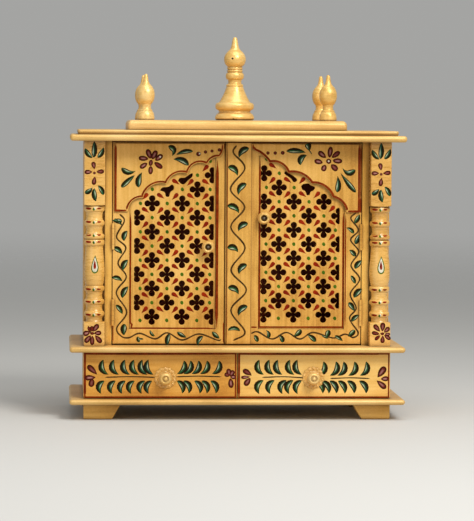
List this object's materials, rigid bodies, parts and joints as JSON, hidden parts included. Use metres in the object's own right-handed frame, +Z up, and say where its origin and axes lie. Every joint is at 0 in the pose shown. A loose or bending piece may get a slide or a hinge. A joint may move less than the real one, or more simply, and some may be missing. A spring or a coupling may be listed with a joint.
{
  "type": "household altar cabinet",
  "caption": "Painted wooden household altar cabinet with lobed-arch lattice doors, turned corner columns, drawers below and turned finials on its roof.",
  "frame": {"origin": "on the floor under the middle of the slabs, which are the widest and deepest pieces", "axes": "+Z up, -Y the front with the doors, +X the viewer's right"},
  "size_m": [0.61, 0.305, 0.698],
  "materials": {
    "gold_paint": "satin gold-ochre hand paint on wood, with painted vines, leaves and petals",
    "bright_gold_paint": "brighter satin gold paint on turned wood",
    "drawer_wood": "plain oiled wood inside the drawers",
    "painted_hinge_steel": "steel hinges painted over in pale gold",
    "leaf_paint": "raised glossy teal paint of the leaves and dots on the wood",
    "maroon_paint": "raised glossy maroon and red paint of the petals and drops on the wood",
    "line_paint": "thin red-brown brush lines of the outlines and vines on the wood"
  },
  "bodies": {
    "cabinet": {"base_slab": "gold_paint", "foot_front_left": "gold_paint", "foot_front_right": "gold_paint", "foot_back_left": "gold_paint", "foot_back_right": "gold_paint", "drawer_case_left_end": "gold_paint", "drawer_case_right_end": "gold_paint", "drawer_case_divider": "gold_paint", "drawer_case_back": "gold_paint", "waist_slab": "gold_paint", "room_left_side": "gold_paint", "room_right_side": "gold_paint", "room_back": "gold_paint", "left_door_post": "gold_paint", "right_door_post": "gold_paint", "left_column": "gold_paint", "right_column": "gold_paint", "roof_slab": "gold_paint", "cornice": "gold_paint", "finial_plank": "gold_paint", "finial_middle": "bright_gold_paint", "finial_front_left": "bright_gold_paint", "finial_front_right": "bright_gold_paint", "finial_back_left": "bright_gold_paint", "finial_back_right": "bright_gold_paint", "left_door_lower_hinge": "painted_hinge_steel", "left_door_upper_hinge": "painted_hinge_steel", "right_door_lower_hinge": "painted_hinge_steel", "right_door_upper_hinge": "painted_hinge_steel"},
    "left_door": {"left_door_outer_stile": "gold_paint", "left_door_inner_stile": "gold_paint", "left_door_bottom_rail": "gold_paint", "left_door_top_rail": "gold_paint", "left_door_lattice": "gold_paint", "left_door_arch": "gold_paint", "left_door_knob": "bright_gold_paint"},
    "right_door": {"right_door_outer_stile": "gold_paint", "right_door_inner_stile": "gold_paint", "right_door_bottom_rail": "gold_paint", "right_door_top_rail": "gold_paint", "right_door_lattice": "gold_paint", "right_door_arch": "gold_paint", "right_door_knob": "bright_gold_paint", "right_door_middle_strip": "gold_paint"},
    "left_drawer": {"left_drawer_front": "gold_paint", "left_drawer_inner_wall": "drawer_wood", "left_drawer_outer_wall": "drawer_wood", "left_drawer_back": "drawer_wood", "left_drawer_bottom": "drawer_wood", "left_drawer_rose": "bright_gold_paint", "left_drawer_knob": "bright_gold_paint"},
    "right_drawer": {"right_drawer_front": "gold_paint", "right_drawer_inner_wall": "drawer_wood", "right_drawer_outer_wall": "drawer_wood", "right_drawer_back": "drawer_wood", "right_drawer_bottom": "drawer_wood", "right_drawer_rose": "bright_gold_paint", "right_drawer_knob": "bright_gold_paint"}
  },
  "joints": [
    {"name": "left_door_hinge", "type": "hinge", "parent": "cabinet", "child": "left_door", "pos_m": [-0.2265, -0.1034, 0.3197], "axis": [0, 0, -1], "range_deg": [0, 110]},
    {"name": "right_door_hinge", "type": "hinge", "parent": "cabinet", "child": "right_door", "pos_m": [0.2265, -0.1034, 0.3197], "axis": [0, 0, 1], "range_deg": [0, 110]},
    {"name": "left_drawer_slide", "type": "slide", "parent": "cabinet", "child": "left_drawer", "axis": [0, -1, 0], "range_m": [0, 0.19]},
    {"name": "right_drawer_slide", "type": "slide", "parent": "cabinet", "child": "right_drawer", "axis": [0, -1, 0], "range_m": [0, 0.19]}
  ]
}
